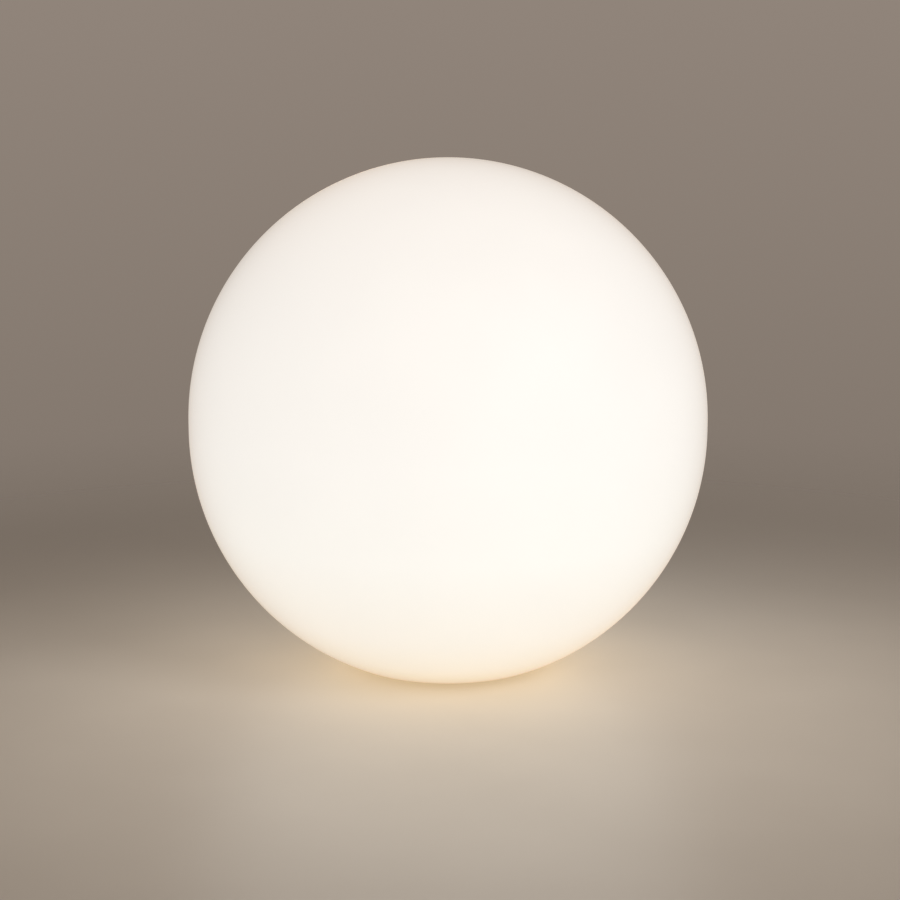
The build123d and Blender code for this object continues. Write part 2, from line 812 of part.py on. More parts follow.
def led_lead():
    """Lead from the control board, under the tray and up through the deck to the connector."""
    start = board_top + connector_height
    low = (well_roof + tray_low) / 2
    return lead(
        (lead_x, 0, start),
        (lead_x, 0, low),
        (lead_x, lead_y, low),
        (lead_x, lead_y, lamp_board_top),
    )


def lead_grommet():
    """Rubber bush round the lead in the deck and the plate."""
    outer = lead_radius + grommet_wall
    bush = ring(lead_radius, outer, deck_low, plate_top)
    bush += ring(lead_radius, outer + grommet_flange, plate_top, plate_top + grommet_flange)
    return Pos(lead_x, lead_y, 0) * bush


def lens_dome():
    """Frosted dome with a screwed flange."""
    inner = dome_sphere - dome_wall
    foot = dome_flange_top - dome_centre
    start = math.degrees(math.asin(foot / dome_sphere))
    inner_start = math.degrees(math.asin(foot / inner))
    outline = [
        CenterArc((0, dome_centre), dome_sphere, start, 90 - start),
        CenterArc((0, dome_centre), inner, inner_start, 90 - inner_start),
        Line((0, dome_centre + inner), (0, dome_centre + dome_sphere)),
        Polyline(
            (dome_radius, dome_flange_top),
            (plate_radius, dome_flange_top),
            (plate_radius, dome_flange_low),
            (dome_inner_foot, dome_flange_low),
            (dome_inner_foot, dome_flange_top),
        ),
    ]
    dome = revolve(Plane.XZ * make_face(outline), Axis.Z)
    hole = disc(case_screw[2] + screw_gap, dome_flange_low, dome_flange_top)
    return dome - [place * hole for place in around(column_count, column_circle)]


def dome_gasket():
    """Flat seal between the dome's flange and the plate."""
    seal = ring(dome_radius + dome_gasket_margin, plate_radius, plate_top, dome_flange_low)
    hole = disc(case_screw[2] + screw_gap, plate_top, dome_flange_low)
    return seal - [place * hole for place in around(column_count, column_circle)]


def dome_screws():
    """Screws down through flange and plate into the housing's columns."""
    length = dome_flange_top - deck_top + case_screw_length - screw_gap
    places = around(column_count, column_circle)
    return screws(case_screw, length, places, dome_flange_top, downwards=True)


pieces = [
    globe_shell,
    bayonet_collar,
    collar_gasket,
    collar_clamp_ring,
    collar_screws,
    seal_ring,
    module_housing,
    base_cover,
    base_gasket,
    base_screws,
    rubber_feet,
    power_button,
    switch_body,
    switch_plunger,
    status_lens,
    charge_port_cover,
    port_cover_anchor,
    charge_socket,
    vent_plug,
    control_board,
    board_parts,
    board_screws,
    battery_tray,
    battery_cells,
    cell_links,
    battery_strap,
    tray_screws,
    battery_lead,
    heat_sink_plate,
    led_board,
    led_board_screws,
    led_chips,
    led_connector,
    led_lead,
    lead_grommet,
    lens_dome,
    dome_gasket,
    dome_screws,
]

os.makedirs("parts", exist_ok=True)
for make in pieces:
    shape = make()
    if isinstance(shape, list):
        shape = Compound([solid for item in shape for solid in item.solids()])
    export_step(shape, f"parts/{make.__name__}.step")
    print(make.__name__, round(shape.volume))
print("ball turns", unlock_angle, "degrees and lifts", lift_travel, "mm; its top is at", ball_top)
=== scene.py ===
import bpy
import math
import numpy as np
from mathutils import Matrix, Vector


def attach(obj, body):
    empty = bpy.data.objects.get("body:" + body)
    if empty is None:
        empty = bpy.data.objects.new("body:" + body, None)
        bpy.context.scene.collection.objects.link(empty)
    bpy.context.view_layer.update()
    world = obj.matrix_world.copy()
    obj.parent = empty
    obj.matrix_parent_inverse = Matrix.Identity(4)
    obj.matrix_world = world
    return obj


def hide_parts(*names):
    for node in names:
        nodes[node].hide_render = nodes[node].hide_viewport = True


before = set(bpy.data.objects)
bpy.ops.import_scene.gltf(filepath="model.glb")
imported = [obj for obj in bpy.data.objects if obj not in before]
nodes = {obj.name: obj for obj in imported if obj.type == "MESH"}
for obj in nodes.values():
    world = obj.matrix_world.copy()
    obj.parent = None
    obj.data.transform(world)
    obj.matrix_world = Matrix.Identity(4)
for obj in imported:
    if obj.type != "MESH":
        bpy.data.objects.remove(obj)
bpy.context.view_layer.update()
mm = 0.001


def linear(hexColour):
    # an sRGB hex value as the linear colour that a shader reads
    parts = np.array([int(hexColour[i:i + 2], 16) for i in (1, 3, 5)]) / 255
    parts = np.where(parts <= 0.04045, parts / 12.92, ((parts + 0.055) / 1.055) ** 2.4)
    return (*parts.tolist(), 1.0)


def addNode(tree, kind, settings=None, links=None):
    # in settings a socket's name sets that socket, "stops" fills a colour ramp, and any other name sets
    # the node itself; in links a node stands for the first output that it has in use
    node = tree.nodes.new("ShaderNode" + kind)
    for name, value in (settings or {}).items():
        if name == "stops":
            stops, elements = list(value), node.color_ramp.elements
            while len(elements) < len(stops):
                elements.new(0.5)
            for element, (position, colour) in zip(elements, stops):
                element.position, element.color = position, linear(colour)
        elif name in node.inputs:
            node.inputs[name].default_value = value
        else:
            setattr(node, name, value)
    for name, source in (links or {}).items():
        if isinstance(source, bpy.types.Node):
            source = next(output for output in source.outputs if output.enabled)
        tree.links.new(source, node.inputs[name])
    return node


def startMaterial(name):
    material = bpy.data.materials.new(name)
    material.use_nodes = True
    tree = material.node_tree
    tree.nodes.clear()
    place = addNode(tree, "TexCoord").outputs["Object"]
    return material, tree, place


def repeat(size):
    # the scale at which a pattern's patches are about size millimetres wide
    return 1 / (size * mm)


noiseRange = (0.3, 0.7)  # where nearly all of a noise's values lie
rangeSockets = ("From Min", "From Max", "To Min", "To Max")


def moulded(name, look):
    # a moulded or tumbled surface: slow mottle in its tone, a fine grain in gloss and relief, and the
    # small rounding that every moulded or broken edge has
    material, tree, place = startMaterial(name)
    mottle = addNode(tree, "TexNoise", {"Scale": repeat(look["mottle"]), "Detail": 3.0}, {"Vector": place})
    grain = addNode(tree, "TexNoise", {"Scale": repeat(look["grain"]), "Roughness": 0.6}, {"Vector": place})
    colour = addNode(tree, "ValToRGB", {"stops": zip(noiseRange, look["tones"])}, {"Fac": mottle})
    gloss = addNode(tree, "MapRange", dict(zip(rangeSockets, noiseRange + look["roughness"])), {"Value": grain})
    edge = addNode(tree, "Bevel", {"samples": 6, "Radius": look["edge"] * mm})
    relief = addNode(tree, "Bump", {"Distance": look["depth"] * mm}, {"Height": grain, "Normal": edge})
    surface = addNode(tree, "BsdfPrincipled", look["shader"], {
        "Base Color": colour, "Roughness": gloss, "Normal": relief})
    addNode(tree, "OutputMaterial", links={"Surface": surface})
    return material


photo = {
    "side": 900,  # the picture is square
    "ballAt": (448.1, 421.5),  # where the ball's centre lies in it, in pixels
    "focal": 2060.0,  # in pixels too
    "sensor": 36.0,
    "clip": (0.05, 60.0),
    "distance": 1.6,
    "elevation": 9.0,
    "ballCentre": (0.0, 0.0, 0.1919),
}


def placeCamera(view):
    # the aim is moved off the ball's centre, so that the ball lands where it does in the picture
    camera = bpy.data.objects.new("camera", bpy.data.cameras.new("camera"))
    bpy.context.scene.collection.objects.link(camera)
    camera.data.sensor_width = view["sensor"]
    camera.data.lens = view["focal"] * view["sensor"] / view["side"]
    camera.data.clip_start, camera.data.clip_end = view["clip"]
    tilt = math.radians(view["elevation"])
    centre = Vector(view["ballCentre"])
    back = Vector((0.0, -math.cos(tilt), math.sin(tilt)))
    up = Vector((0.0, math.sin(tilt), math.cos(tilt)))
    right = Vector((1.0, 0.0, 0.0))
    perPixel = view["distance"] / view["focal"]
    across, down = (view["side"] / 2 - at for at in view["ballAt"])
    aim = centre + (right * across - up * down) * perPixel
    camera.location = centre + back * view["distance"]
    camera.rotation_euler = (aim - camera.location).to_track_quat("-Z", "Y").to_euler()
    bpy.context.scene.camera = camera


placeCamera(photo)
print("camera set")


def addMesh(name, points, faces, crisp=40):
    # smooth shaded, with edges sharper than crisp degrees left as they are
    mesh = bpy.data.meshes.new(name)
    mesh.from_pydata(points.tolist(), [], faces)
    mesh.validate()
    mesh.shade_smooth()
    mesh.set_sharp_from_angle(angle=math.radians(crisp))
    piece = bpy.data.objects.new(name, mesh)
    bpy.context.scene.collection.objects.link(piece)
    return piece


paper = {
    "radius": 9.0,
    "rings": 48,
    "spokes": 96,
    "tones": ("#EEE2D3", "#E7DBCC"),  # of its faint clouds, paler and warmer than the outer tone: a painted pool of light
    "toneStops": (0.25, 0.75),
    "cloud": 160.0,  # millimetres, as are the stipple and its depth
    "stipple": 9.0,
    "stippleDepth": 0.1,
    "outer": "#B5A99C",  # duller grey, away from a painted pool of light in front of the ball: painted shade, reached soonest behind the ball
    "paintedPoolShift": (0.0, 0.12, 0.0),  # that painted pool's centre in metres, with its signs turned
    "paintedPoolReach": (0.2, 0.8),  # metres from that centre, between which the painted light gives way to the outer tone
    "fade": (0.25, 1.25),  # metres from the ball, between which it melts into the backdrop
    "shader": {"Roughness": 0.4, "Specular IOR Level": 0.7},
}


def floorSurface(look):
    # a disc: x = r cos a, y = r sin a, with r growing as the square of the ring's number
    rings, spokes = look["rings"], look["spokes"]
    r = look["radius"] * (np.linspace(0, 1, rings)[1:] ** 2)[:, None]
    a = np.linspace(0, 2 * np.pi, spokes, endpoint=False)[None, :]
    flat = np.stack([r * np.cos(a), r * np.sin(a), np.zeros_like(r * a)], -1).reshape(-1, 3)
    points = np.vstack([[(0.0, 0.0, 0.0)], flat])
    i = np.arange(rings - 2)[:, None] * spokes + 1
    j = np.arange(spokes)[None, :]
    k = (j + 1) % spokes
    quads = np.stack([i + j, i + j + spokes, i + k + spokes, i + k], -1).reshape(-1, 4)
    fan = np.stack([np.zeros(spokes, int), j[0] + 1, k[0] + 1], -1)
    return points, fan.tolist() + quads.tolist()


def satinPaper(look):
    # satin studio paper: a broad soft sheen in front of the lit ball, and a painted pool of light there that
    # turns to painted grey shade further out and behind the ball; faint clouds; clear from beneath
    material, tree, place = startMaterial("satinFloorPaper")
    stipple = addNode(tree, "TexNoise", {"Scale": repeat(look["stipple"]), "Detail": 3.0}, {"Vector": place})
    cloud = addNode(tree, "TexNoise", {"Scale": repeat(look["cloud"])}, {"Vector": place})
    inner = addNode(tree, "ValToRGB", {"stops": zip(look["toneStops"], look["tones"])}, {"Fac": cloud})
    # painted light: paler and warmer round a point just in front of the ball, turning to the grey outer tone
    # further off, which is painted shade
    poolPlace = addNode(tree, "Mapping", {"Location": look["paintedPoolShift"]}, {"Vector": place})
    reach = addNode(tree, "VectorMath", {"operation": "LENGTH"}, {"Vector": poolPlace})
    paintedFalloff = addNode(tree, "MapRange", {
        "interpolation_type": "SMOOTHSTEP", **dict(zip(rangeSockets, look["paintedPoolReach"]))}, {"Value": reach})
    # the clouds of the painted pool of light give way to the grey of the painted shade
    colour = addNode(tree, "Mix", {
        "data_type": "RGBA", "B": linear(look["outer"])}, {"Factor": paintedFalloff, "A": inner})
    relief = addNode(tree, "Bump", {"Distance": look["stippleDepth"] * mm}, {"Height": stipple})
    paint = addNode(tree, "BsdfPrincipled", look["shader"], {"Base Color": colour, "Normal": relief})
    clear = addNode(tree, "BsdfTransparent")
    outward = addNode(tree, "VectorMath", {"operation": "LENGTH"}, {"Vector": place})
    fade = addNode(tree, "MapRange", {
        "interpolation_type": "SMOOTHSTEP", **dict(zip(rangeSockets, look["fade"]))}, {"Value": outward})
    under = addNode(tree, "NewGeometry").outputs["Backfacing"]
    hidden = addNode(tree, "Math", {"operation": "MAXIMUM"}, {0: fade, 1: under})
    both = addNode(tree, "MixShader", links={0: hidden, 1: paint, 2: clear})
    addNode(tree, "OutputMaterial", links={"Surface": both})
    return material


floor = addMesh("floor", *floorSurface(paper))
floor.data.materials.append(satinPaper(paper))

surroundings = {
    "sky": 0.24,
    "skyColour": "#FFFAF5",
    "backdrop": ("#82776D", "#91857B"),  # low and high
    "rise": (-0.2, 0.06),  # heights of the line of sight, 0 when level, between which low turns to high
}


def makeWorld(look):
    # even white light from all round; the camera, gloss and glass see the backdrop's colour instead
    world = bpy.data.worlds.new("studio")
    world.use_nodes = True
    bpy.context.scene.world = world
    tree = world.node_tree
    tree.nodes.clear()
    ray = addNode(tree, "LightPath")
    seen = addNode(tree, "Math", {"operation": "MAXIMUM"},
                   {0: ray.outputs["Is Camera Ray"], 1: ray.outputs["Is Glossy Ray"]})
    seen = addNode(tree, "Math", {"operation": "MAXIMUM"}, {0: seen, 1: ray.outputs["Is Transmission Ray"]})
    light = addNode(tree, "Background", {"Color": linear(look["skyColour"]), "Strength": look["sky"]})
    direction = addNode(tree, "TexCoord").outputs["Generated"]
    upward = addNode(tree, "SeparateXYZ", links={"Vector": direction}).outputs["Z"]
    along = addNode(tree, "MapRange", dict(zip(rangeSockets, look["rise"])), {"Value": upward})
    paint = addNode(tree, "ValToRGB", {"stops": zip((0.0, 1.0), look["backdrop"])}, {"Fac": along})
    shown = addNode(tree, "Background", {"Strength": 1.0}, {"Color": paint})
    both = addNode(tree, "MixShader", links={0: seen, 1: light, 2: shown})
    addNode(tree, "OutputWorld", links={"Surface": both})


makeWorld(surroundings)

lamps = {
    # from the front right, so that the ball's soft shadow falls back to the left
    "key": {"place": (1.4, -1.45, 1.25), "size": 1.1, "power": 13.0, "colour": "#FFFFFF"},
    "fill": {"place": (-0.9, -2.1, 1.9), "size": 1.8, "power": 8.5, "colour": "#FFECD6"},
}
lampAim = (0.0, 0.0, 0.15)


def addLamp(name, look):
    lamp = bpy.data.lights.new(name, "AREA")
    lamp.shape, lamp.size, lamp.energy = "DISK", look["size"], look["power"]
    lamp.color = linear(look["colour"])[:3]
    holder = bpy.data.objects.new(name, lamp)
    holder.location = look["place"]
    holder.rotation_euler = (Vector(lampAim) - Vector(look["place"])).to_track_quat("-Z", "Y").to_euler()
    holder.visible_camera = False
    bpy.context.scene.collection.objects.link(holder)


for name, look in lamps.items():
    addLamp(name, look)
bpy.context.scene.view_settings.view_transform = "Standard"
print("floor, backdrop and lamps set")


ball = {  # millimetres
    "radius": 200.0,
    "wall": 3.0,
    "flatHeight": 1.2,
    "edgeRadius": 24.0,  # rounding between the flat underside and the ball
    "flatEdge": 65.17,  # radius at which that rounding starts
    "lowerCentre": 188.69,
    "belt": 6.4,
    "recess": 60.17,
    "shelf": (9.1, 12.1),
    "opening": 52.77,
    "screwCount": 8,
    "screwCircle": 56.27,
    "screwHole": 1.45,  # radius
    "top": 395.09,  # where the glow's last colour stands
    # the mesh: spokes round the axis, spokes on either side of a screw hole that its face is drawn from,
    # points along the edge's rounding, the lower and the upper half, and where it ends short of the pole
    "spokes": 288,
    "screwWindow": 8,
    "edgePoints": 14,
    "lowerPoints": 66,
    "upperPoints": 84,
    "lastDegree": 89.6,
    # its plastic
    "milk": ("#A19F9B", "#A7A5A1"),
    "cloud": 70.0,
    "skin": 2.2,
    "skinDepth": 0.03,
    "wave": 30.0,
    "waveDepth": 0.06,
    "roughness": (0.58, 0.66),
    # the lamp stands low, so the lower half is the brightest, but the collar keeps light from the foot
    "glow": ((0.0, "#CDBD9F"), (0.02, "#E1D4BC"), (0.06, "#E3DBCB"), (0.14, "#E7E2D8"),
             (0.3, "#ECEAE4"), (0.48, "#ECE9E4"), (0.73, "#E8E4DF"), (1.0, "#E6E0DA")),
    "shader": {
        "IOR": 1.51, "Emission Strength": 0.985, "Specular IOR Level": 0.2,
        "Coat Weight": 0.5, "Coat Roughness": 0.56, "Coat IOR": 1.5,
        "Sheen Weight": 0.6, "Sheen Roughness": 0.34, "Sheen Tint": linear("#FFD29C"),
    },
}


def ballProfile(b):
    # half section, outside first: quarter turns of the edge's rounding and of the ball, joined by the
    # straight belt, then the same for the inner wall, and the neck from there to the shelf and opening
    def arc(centreR, centreZ, radius, start, end, count):
        t = np.radians(np.linspace(start, end, count))
        return np.stack([centreR + radius * np.cos(t), centreZ + radius * np.sin(t)], -1)

    edgeZ = b["flatHeight"] + b["edgeRadius"]
    tangent = math.degrees(math.atan2(b["lowerCentre"] - edgeZ, b["flatEdge"]))
    upperCentre = b["lowerCentre"] + b["belt"]

    def wallSide(inset, coarse):
        return np.vstack([
            arc(b["flatEdge"], edgeZ, b["edgeRadius"] - inset, -90, -tangent, b["edgePoints"] // coarse)[:-1],
            arc(0, b["lowerCentre"], b["radius"] - inset, -tangent, 0, b["lowerPoints"] // coarse),
            arc(0, upperCentre, b["radius"] - inset, 0, b["lastDegree"], b["upperPoints"] // coarse),
        ])

    shelfLow, shelfTop = b["shelf"]
    floorIn = b["flatHeight"] + b["wall"]
    outerRecess = b["recess"] + b["wall"]
    neck = np.array([
        (outerRecess, floorIn), (outerRecess, shelfTop), (b["opening"], shelfTop),
        (b["opening"], shelfLow), (b["recess"], shelfLow), (b["recess"], b["flatHeight"]),
    ])
    outside, inside = wallSide(0, 1), wallSide(b["wall"], 2)[::-1]
    return outside, inside, neck, upperCentre + b["radius"]


def screwHoles(b, upperRow, lowerRow, firstPoint):
    # Both faces of the shelf open in windows some spokes wide. Quads run from a window's edge to the
    # hole's circle, screwCircle + R cos f outwards and R sin f sideways, and a wall joins both circles.
    spokes, count, reach = b["spokes"], b["screwCount"], b["screwWindow"]
    sides = 2 * (2 * reach + 1)  # points round a window, half of them on either row
    middle = np.arange(count)[:, None] * (spokes // count)
    window = (middle + np.arange(-reach, reach + 1)[None, :]) % spokes
    a, f = 2 * np.pi * middle / spokes, 2 * np.pi * (np.arange(sides) - reach)[None, :] / sides
    r, t = b["screwCircle"] + b["screwHole"] * np.cos(f), b["screwHole"] * np.sin(f)
    x, y = r * np.cos(a) - t * np.sin(a), r * np.sin(a) + t * np.cos(a)
    points = np.vstack([np.stack([x, y, np.full_like(x, z)], -1).reshape(-1, 3) for z in b["shelf"]])
    low = firstPoint + np.arange(count * sides).reshape(count, sides)
    high = low + count * sides

    def edge(row):
        return np.hstack([row * spokes + window, (row + 1) * spokes + window[:, ::-1]])

    def strip(outer, inner):
        return np.stack([outer, np.roll(outer, -1, 1), np.roll(inner, -1, 1), inner], -1).reshape(-1, 4)

    faces = np.vstack([strip(edge(upperRow), high), strip(edge(lowerRow), low[:, ::-1]), strip(high, low)])
    return points, faces, window[:, :-1].ravel()


def turnedShell(b):
    # the profile turned about Z: x = r cos a, y = r sin a; each pole is one point with a fan
    outside, inside, neck, top = ballProfile(b)
    rows, spokes = np.vstack([inside, neck, outside]), b["spokes"]
    a = np.linspace(0, 2 * np.pi, spokes, endpoint=False)[None, :]
    r, z = rows[:, :1], rows[:, 1:]
    spun = np.stack([r * np.cos(a), r * np.sin(a), z + 0 * a], -1).reshape(-1, 3)
    i = np.arange(len(rows) - 1)[:, None] * spokes
    j = np.arange(spokes)[None, :]
    k = (j + 1) % spokes
    quads = np.stack([i + j, i + k, i + k + spokes, i + j + spokes], -1)
    poles, last = len(spun), (len(rows) - 1) * spokes
    upperRow, lowerRow = len(inside) + 1, len(inside) + 3  # where the neck runs over and under its shelf
    holePoints, holeFaces, opened = screwHoles(b, upperRow, lowerRow, poles + 2)
    kept = np.ones(quads.shape[:2], bool)
    kept[np.ix_([upperRow, lowerRow], opened)] = False
    fanIn = np.stack([np.full(spokes, poles), k[0], j[0]], -1)
    fanOut = np.stack([np.full(spokes, poles + 1), last + j[0], last + k[0]], -1)
    points = np.vstack([spun, [(0, 0, top - b["wall"])], [(0, 0, top)], holePoints]) * mm
    return points, quads[kept].tolist() + holeFaces.tolist() + fanIn.tolist() + fanOut.tolist()


def opalPolyethylene(b):
    # rotation-moulded low-density polyethylene, 3 mm: milky all through, lit from inside, with the soft
    # satin of a blasted mould; its skin waves a little, and its wall's thickness shows as faint clouds
    material, tree, place = startMaterial("opalPolyethylene")
    cloud = addNode(tree, "TexNoise", {"Scale": repeat(b["cloud"])}, {"Vector": place})
    skin = addNode(tree, "TexNoise", {"Scale": repeat(b["skin"])}, {"Vector": place})
    wave = addNode(tree, "TexNoise", {"Scale": repeat(b["wave"]), "Detail": 1.0}, {"Vector": place})
    colour = addNode(tree, "ValToRGB", {"stops": zip(noiseRange, b["milk"])}, {"Fac": cloud})
    height = addNode(tree, "SeparateXYZ", links={"Vector": place}).outputs["Z"]
    along = addNode(tree, "MapRange", {"From Min": 0.0, "From Max": b["top"] * mm}, {"Value": height})
    glow = addNode(tree, "ValToRGB", {"stops": b["glow"]}, {"Fac": along})
    waves = addNode(tree, "Bump", {"Distance": b["waveDepth"] * mm}, {"Height": wave})
    relief = addNode(tree, "Bump", {"Distance": b["skinDepth"] * mm}, {"Height": skin, "Normal": waves})
    gloss = addNode(tree, "MapRange", dict(zip(rangeSockets, noiseRange + b["roughness"])), {"Value": skin})
    surface = addNode(tree, "BsdfPrincipled", b["shader"], {
        "Base Color": colour, "Emission Color": glow, "Roughness": gloss, "Normal": relief})
    addNode(tree, "OutputMaterial", links={"Surface": surface})
    return material


opalBall = addMesh("opalBall", *turnedShell(ball))
opalBall.data.materials.append(opalPolyethylene(ball))
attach(opalBall, "globe")
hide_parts("globe_shell")
print("ball made")


# in all that follows the sizes of patterns, edges and depths are millimetres
mouldings = {
    # injection-moulded ABS from a spark-eroded mould: a fine even grain that breaks the gloss up
    "mouldedWhiteAbs": {
        "tones": ("#DEDCD6", "#E6E4DF"), "mottle": 18.0, "grain": 0.5, "depth": 0.02,
        "roughness": (0.4, 0.52), "edge": 0.35, "shader": {"IOR": 1.54}},
    # the same plastic coloured mid grey, as inner parts are
    "mouldedGreyAbs": {
        "tones": ("#55585B", "#5F6265"), "mottle": 12.0, "grain": 0.5, "depth": 0.02,
        "roughness": (0.42, 0.55), "edge": 0.3, "shader": {"IOR": 1.54}},
    # polished clear polycarbonate: the light guide of the status lamp
    "clearPolycarbonate": {
        "tones": ("#E3EDEC", "#EEF4F2"), "mottle": 3.0, "grain": 1.0, "depth": 0.003,
        "roughness": (0.04, 0.1), "edge": 0.15, "shader": {"IOR": 1.585, "Transmission Weight": 0.85}},
    # moulded EPDM: near black, dusty matt, with a slight bloom
    "mouldedRubber": {
        "tones": ("#1F1F1F", "#2A2929"), "mottle": 8.0, "grain": 0.6, "depth": 0.03,
        "roughness": (0.62, 0.8), "edge": 0.3,
        "shader": {"IOR": 1.52, "Sheen Weight": 0.08, "Sheen Roughness": 0.5}},
    # grey silicone: silky and soft edged, with a faint bloom
    "greySilicone": {
        "tones": ("#84878A", "#8E9194"), "mottle": 6.0, "grain": 0.8, "depth": 0.012,
        "roughness": (0.5, 0.62), "edge": 0.4,
        "shader": {"IOR": 1.41, "Sheen Weight": 0.1, "Sheen Roughness": 0.4}},
    # tumbled stainless steel: bright with hair-fine scratches in every direction
    "tumbledStainless": {
        "tones": ("#B9B6B1", "#C9C6C1"), "mottle": 2.5, "grain": 0.35, "depth": 0.004,
        "roughness": (0.31, 0.4), "edge": 0.12, "shader": {"Metallic": 1.0}},
    # black epoxy of chips and switches: fine matt with a sharp edge
    "mouldedEpoxy": {
        "tones": ("#2B2B2E", "#343437"), "mottle": 2.0, "grain": 0.3, "depth": 0.01,
        "roughness": (0.45, 0.6), "edge": 0.1, "shader": {"IOR": 1.55}},
    # silicone loaded with phosphor over the LED: egg-yolk yellow, wet looking and lit
    "phosphorGel": {
        "tones": ("#E9B64A", "#F3C768"), "mottle": 1.2, "grain": 0.25, "depth": 0.01,
        "roughness": (0.18, 0.28), "edge": 0.15,
        "shader": {"IOR": 1.43, "Emission Color": linear("#FFE2A6"), "Emission Strength": 0.8}},
}
finishes = {name: moulded(name, look) for name, look in mouldings.items()}

dome = {
    "tones": ("#D6D2CA", "#DCD8D1"),
    "mottle": 14.0,
    "skin": 3.0,
    "depth": 0.003,
    "roughness": (0.33, 0.4),
    "glow": ((0.0, "#FFF8EC"), (0.4, "#FBF0DC"), (0.76, "#DCCBAE"), (0.86, "#7D725F"), (1.0, "#5A5348")),
    "glowRadius": 45.0,  # where the glow's last colour stands
    "shader": {"IOR": 1.585, "Emission Strength": 0.55, "Coat Weight": 0.5, "Coat Roughness": 0.1},
}


def opalPolycarbonate(look):
    # frosted polycarbonate over lit chips: smooth outside, full of light over the lamp's board, and dim
    # in the flange, where it is clamped on metal
    material, tree, place = startMaterial("opalPolycarbonate")
    mottle = addNode(tree, "TexNoise", {"Scale": repeat(look["mottle"]), "Detail": 3.0}, {"Vector": place})
    skin = addNode(tree, "TexNoise", {"Scale": repeat(look["skin"])}, {"Vector": place})
    flatPlace = addNode(tree, "Mapping", {"Scale": (1.0, 1.0, 0.0)}, {"Vector": place})
    outward = addNode(tree, "VectorMath", {"operation": "LENGTH"}, {"Vector": flatPlace})
    along = addNode(tree, "MapRange", {
        "From Min": 0.0, "From Max": look["glowRadius"] * mm}, {"Value": outward})
    glow = addNode(tree, "ValToRGB", {"stops": look["glow"]}, {"Fac": along})
    colour = addNode(tree, "ValToRGB", {"stops": zip(noiseRange, look["tones"])}, {"Fac": mottle})
    gloss = addNode(tree, "MapRange", dict(zip(rangeSockets, noiseRange + look["roughness"])), {"Value": skin})
    relief = addNode(tree, "Bump", {"Distance": look["depth"] * mm}, {"Height": skin})
    surface = addNode(tree, "BsdfPrincipled", look["shader"], {
        "Base Color": colour, "Emission Color": glow, "Roughness": gloss, "Normal": relief})
    addNode(tree, "OutputMaterial", links={"Surface": surface})
    return material


heatSink = {
    "tones": ("#C3C5C7", "#D0D2D3"),
    "mottle": 9.0,
    "ring": 0.9,  # the turning tool's feed is 0.3, drawn three times as coarse to show
    "depth": 0.006,
    "roughness": (0.34, 0.44),
    "edge": 0.2,
}


def anodisedAluminium(look):
    # turned, then anodised: fine rings round the axis and a dry metallic satin
    material, tree, place = startMaterial("anodisedAluminium")
    flatPlace = addNode(tree, "Mapping", {"Scale": (1.0, 1.0, 0.0)}, {"Vector": place})
    rings = addNode(tree, "TexWave", {
        "wave_type": "RINGS", "rings_direction": "SPHERICAL", "Scale": repeat(2 * look["ring"] * math.pi),
        "Distortion": 1.2, "Detail": 3.0, "Detail Scale": 2.0}, {"Vector": flatPlace}).outputs["Fac"]
    mottle = addNode(tree, "TexNoise", {"Scale": repeat(look["mottle"]), "Detail": 3.0}, {"Vector": place})
    colour = addNode(tree, "ValToRGB", {"stops": zip(noiseRange, look["tones"])}, {"Fac": mottle})
    gloss = addNode(tree, "MapRange", dict(zip(rangeSockets, noiseRange + look["roughness"])), {"Value": rings})
    edge = addNode(tree, "Bevel", {"samples": 6, "Radius": look["edge"] * mm})
    relief = addNode(tree, "Bump", {"Distance": look["depth"] * mm}, {"Height": rings, "Normal": edge})
    surface = addNode(tree, "BsdfPrincipled", {"Metallic": 1.0}, {
        "Base Color": colour, "Roughness": gloss, "Normal": relief})
    addNode(tree, "OutputMaterial", links={"Surface": surface})
    return material


finishes["opalPolycarbonate"] = opalPolycarbonate(dome)
finishes["anodisedAluminium"] = anodisedAluminium(heatSink)

drawn = {
    # rolled nickel: straight fine lines along the strip
    "rolledNickel": {
        "tones": ("#B6B1A6", "#C6C2B8"), "stretch": (1.0, 0.05, 1.0), "line": 0.5, "detail": 3.0,
        "roughness": (0.31, 0.42), "depth": 0.008, "shader": {"Metallic": 1.0}},
    # heat-shrunk PVC: glossy, drawn into shallow folds across the cell
    "shrunkSleeve": {
        "tones": ("#56799F", "#6085AC"), "stretch": (1.0, 0.12, 0.12), "line": 3.0, "detail": 2.0,
        "roughness": (0.31, 0.4), "depth": 0.04,
        "shader": {"IOR": 1.54, "Coat Weight": 0.3, "Coat Roughness": 0.1}},
}


def drawnLines(name, look):
    # a surface drawn or shrunk in one direction: a noise stretched along it, in tone, gloss and relief
    material, tree, place = startMaterial(name)
    stretched = addNode(tree, "Mapping", {"Scale": look["stretch"]}, {"Vector": place})
    lines = addNode(tree, "TexNoise", {
        "Scale": repeat(look["line"]), "Detail": look["detail"]}, {"Vector": stretched})
    colour = addNode(tree, "ValToRGB", {"stops": zip(noiseRange, look["tones"])}, {"Fac": lines})
    gloss = addNode(tree, "MapRange", dict(zip(rangeSockets, noiseRange + look["roughness"])), {"Value": lines})
    relief = addNode(tree, "Bump", {"Distance": look["depth"] * mm}, {"Height": lines})
    surface = addNode(tree, "BsdfPrincipled", look["shader"], {
        "Base Color": colour, "Roughness": gloss, "Normal": relief})
    addNode(tree, "OutputMaterial", links={"Surface": surface})
    return material


finishes.update({name: drawnLines(name, look) for name, look in drawn.items()})

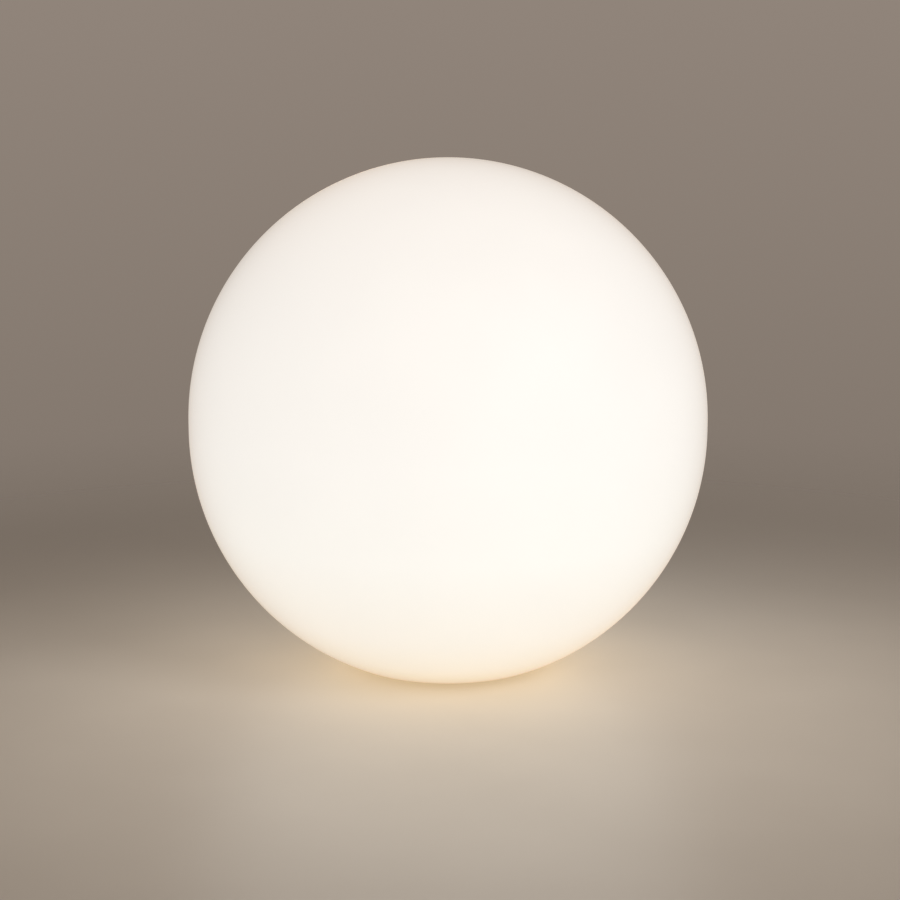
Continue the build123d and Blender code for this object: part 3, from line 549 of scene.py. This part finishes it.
laminates = {
    "greenLaminate": {"mask": "#1F5A36", "track": "#35794C", "pitch": 1.3},
    "whiteLaminate": {"mask": "#E2E1DC", "track": "#F2F1ED", "pitch": 4.5},
}
laminate = {
    "weave": 0.8,  # the glass cloth's is 0.4, drawn twice as coarse to show
    "weaveDepth": 0.004,
    "copper": 0.035,
    "trackWidth": 0.18,  # in pitches, as is its length
    "trackLength": 4.2,
    "shader": {"IOR": 1.53, "Roughness": 0.32, "Coat Weight": 0.25, "Coat Roughness": 0.15},
}


def circuitLaminate(name, look, common):
    # glass-cloth laminate under solder mask: the weave shows through, and the copper tracks lift the
    # mask in lighter lines
    material, tree, place = startMaterial(name)
    weave = addNode(tree, "TexChecker", {"Scale": repeat(common["weave"])}, {"Vector": place}).outputs["Fac"]
    pitch = look["pitch"] * mm
    tracks = addNode(tree, "TexBrick", {
        "Color1": (0, 0, 0, 1), "Color2": (0.15, 0.15, 0.15, 1), "Mortar": (1, 1, 1, 1),
        "Scale": 1.0, "Mortar Size": common["trackWidth"] * pitch, "Mortar Smooth": 0.3,
        "Brick Width": common["trackLength"] * pitch, "Row Height": pitch}, {"Vector": place})
    colour = addNode(tree, "Mix", {
        "data_type": "RGBA", "A": linear(look["mask"]), "B": linear(look["track"])}, {"Factor": tracks})
    cloth = addNode(tree, "Bump", {"Distance": common["weaveDepth"] * mm}, {"Height": weave})
    relief = addNode(tree, "Bump", {"Distance": common["copper"] * mm}, {"Height": tracks, "Normal": cloth})
    surface = addNode(tree, "BsdfPrincipled", common["shader"], {"Base Color": colour, "Normal": relief})
    addNode(tree, "OutputMaterial", links={"Surface": surface})
    return material


finishes.update({name: circuitLaminate(name, look, laminate) for name, look in laminates.items()})

finishOf = {
    "mouldedWhiteAbs": ("bayonet_collar", "collar_clamp_ring", "module_housing", "base_cover", "led_connector"),
    "mouldedGreyAbs": ("switch_plunger", "vent_plug", "battery_tray"),
    "opalPolycarbonate": ("lens_dome",),
    "clearPolycarbonate": ("status_lens",),
    "mouldedRubber": ("collar_gasket", "seal_ring", "base_gasket", "rubber_feet", "battery_lead", "led_lead",
                      "lead_grommet", "dome_gasket"),
    "greySilicone": ("charge_port_cover", "port_cover_anchor", "power_button"),
    "tumbledStainless": ("collar_screws", "base_screws", "charge_socket", "board_screws", "battery_strap",
                         "tray_screws", "led_board_screws", "dome_screws"),
    "anodisedAluminium": ("heat_sink_plate",),
    "mouldedEpoxy": ("switch_body", "board_parts"),
    "phosphorGel": ("led_chips",),
    "rolledNickel": ("cell_links",),
    "shrunkSleeve": ("battery_cells",),
    "greenLaminate": ("control_board",),
    "whiteLaminate": ("led_board",),
}

for finish, names in finishOf.items():
    for name in names:
        for slot in nodes[name].material_slots:
            slot.material = finishes[finish]
print("finishes given to", sum(len(names) for names in finishOf.values()), "parts")
